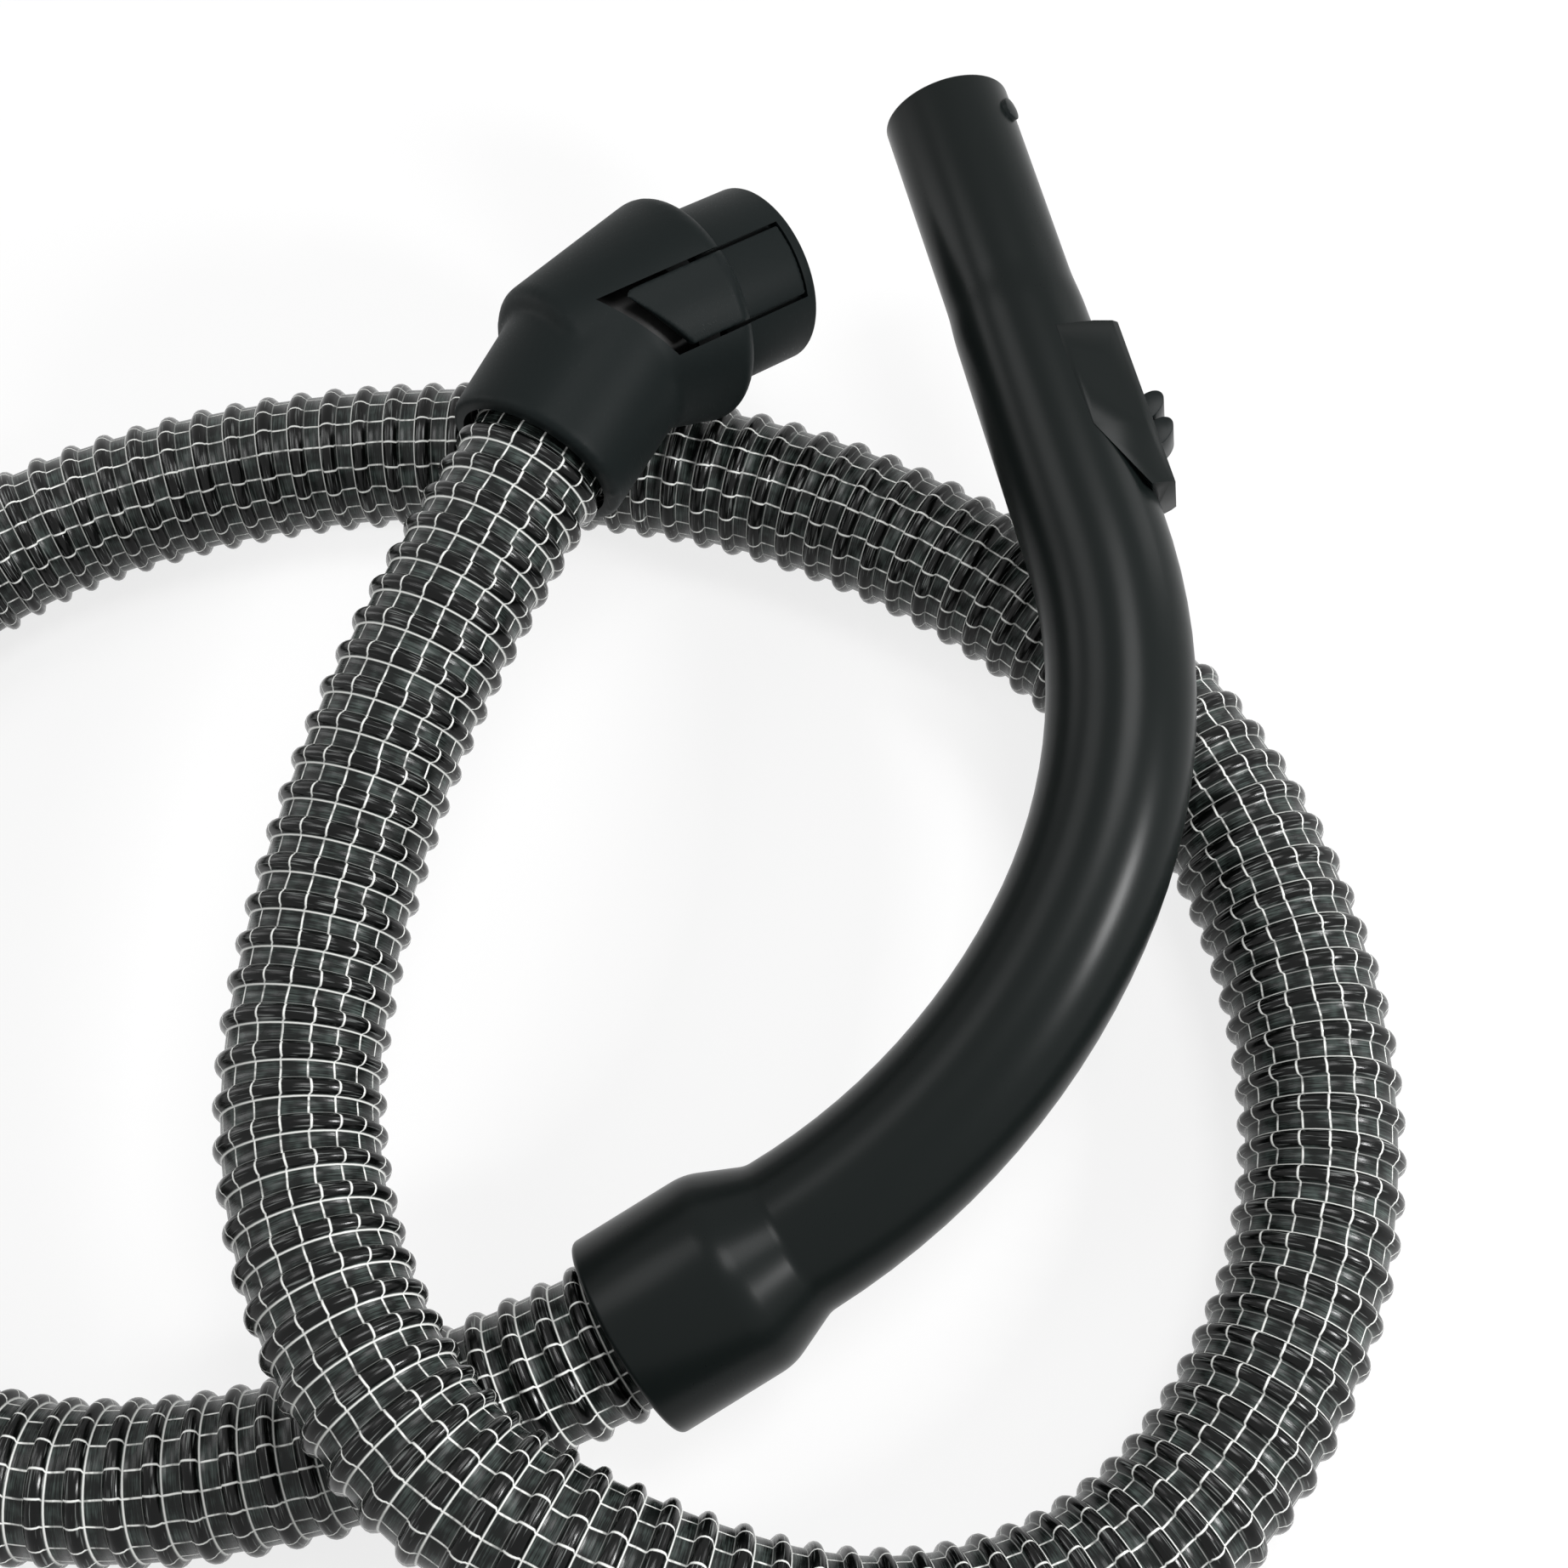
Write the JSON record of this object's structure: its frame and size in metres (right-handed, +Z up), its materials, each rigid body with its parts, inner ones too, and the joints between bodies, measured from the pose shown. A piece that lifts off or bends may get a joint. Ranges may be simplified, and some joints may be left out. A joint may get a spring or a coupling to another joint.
{
  "type": "vacuum cleaner hose",
  "caption": "Ribbed suction hose for a canister vacuum cleaner, with a swivelling snap-in elbow and a bent hand grip with a sliding air regulator.",
  "frame": {"origin": "on the floor that the hose and the grip's bell rest on, under the middle of the grip and the elbow", "axes": "+Z up from the floor; seen from above, +Y away from the viewer, along the grip from its bell to its wand end, and +X to the viewer's right, from the elbow to the grip"},
  "size_m": [0.435, 0.387, 0.0991],
  "materials": {
    "hose_plastic": "glossy ribs with white yarns in the wall",
    "grip_plastic": "satin",
    "elbow_plastic": "matte",
    "cuff_plastic": "smooth",
    "ring_plastic": "smooth",
    "seal_rubber": "soft",
    "pad_foam": "closed-cell foam",
    "spring_steel": "spring steel"
  },
  "bodies": {
    "hose_with_cuffs": {"hose": "hose_plastic", "handle_cuff": "cuff_plastic", "handle_seal": "seal_rubber", "elbow_cuff": "cuff_plastic", "elbow_seal": "seal_rubber"},
    "grip": {"handle_tube": "grip_plastic", "handle_snap_ring": "ring_plastic", "vent_cover": "grip_plastic", "slider_spring": "spring_steel", "button_clip": "spring_steel"},
    "regulator": {"air_slider": "grip_plastic", "slider_pad": "pad_foam"},
    "snap_button": {"wand_button": "grip_plastic"},
    "elbow": {"elbow_shell": "elbow_plastic", "elbow_snap_ring": "ring_plastic", "inner_duct": "cuff_plastic", "machine_spigot": "elbow_plastic"},
    "front_latch": {"latch_front": "elbow_plastic"},
    "back_latch": {"latch_back": "elbow_plastic"}
  },
  "joints": [
    {"name": "grip_swivel", "type": "hinge", "parent": "hose_with_cuffs", "child": "grip", "pos_m": [-0.0464, -0.1399, 0.02395], "axis": [0.865, 0.4795, 0.1478], "range_deg": [0, 150]},
    {"name": "elbow_swivel", "type": "hinge", "parent": "hose_with_cuffs", "child": "elbow", "pos_m": [-0.0679, 0.0605, 0.072], "axis": [-0.4695, -0.8829, 0], "range_deg": [0, 170]},
    {"name": "regulator_slide", "type": "slide", "parent": "grip", "child": "regulator", "axis": [-0.2602, 0.958, 0.1207], "range_m": [-0.003, 0.012]},
    {"name": "button_press", "type": "slide", "parent": "grip", "child": "snap_button", "axis": [-0.835, -0.1605, -0.5263], "range_m": [0, 0.0024], "stiffness_N_per_m": 800, "springref_m": -0.001, "deforming": ["button_clip"]},
    {"name": "front_latch_press", "type": "hinge", "parent": "elbow", "child": "front_latch", "pos_m": [-0.00662, 0.11584, 0.07208], "axis": [0.3568, -0.7383, -0.5724], "range_deg": [0, 5], "stiffness_Nm_per_rad": 4, "springref_deg": -1.15},
    {"name": "back_latch_press", "type": "hinge", "parent": "elbow", "child": "back_latch", "pos_m": [-0.02714, 0.12712, 0.04473], "axis": [-0.3568, 0.7383, 0.5724], "range_deg": [0, 5], "stiffness_Nm_per_rad": 4, "springref_deg": -1.15}
  ]
}
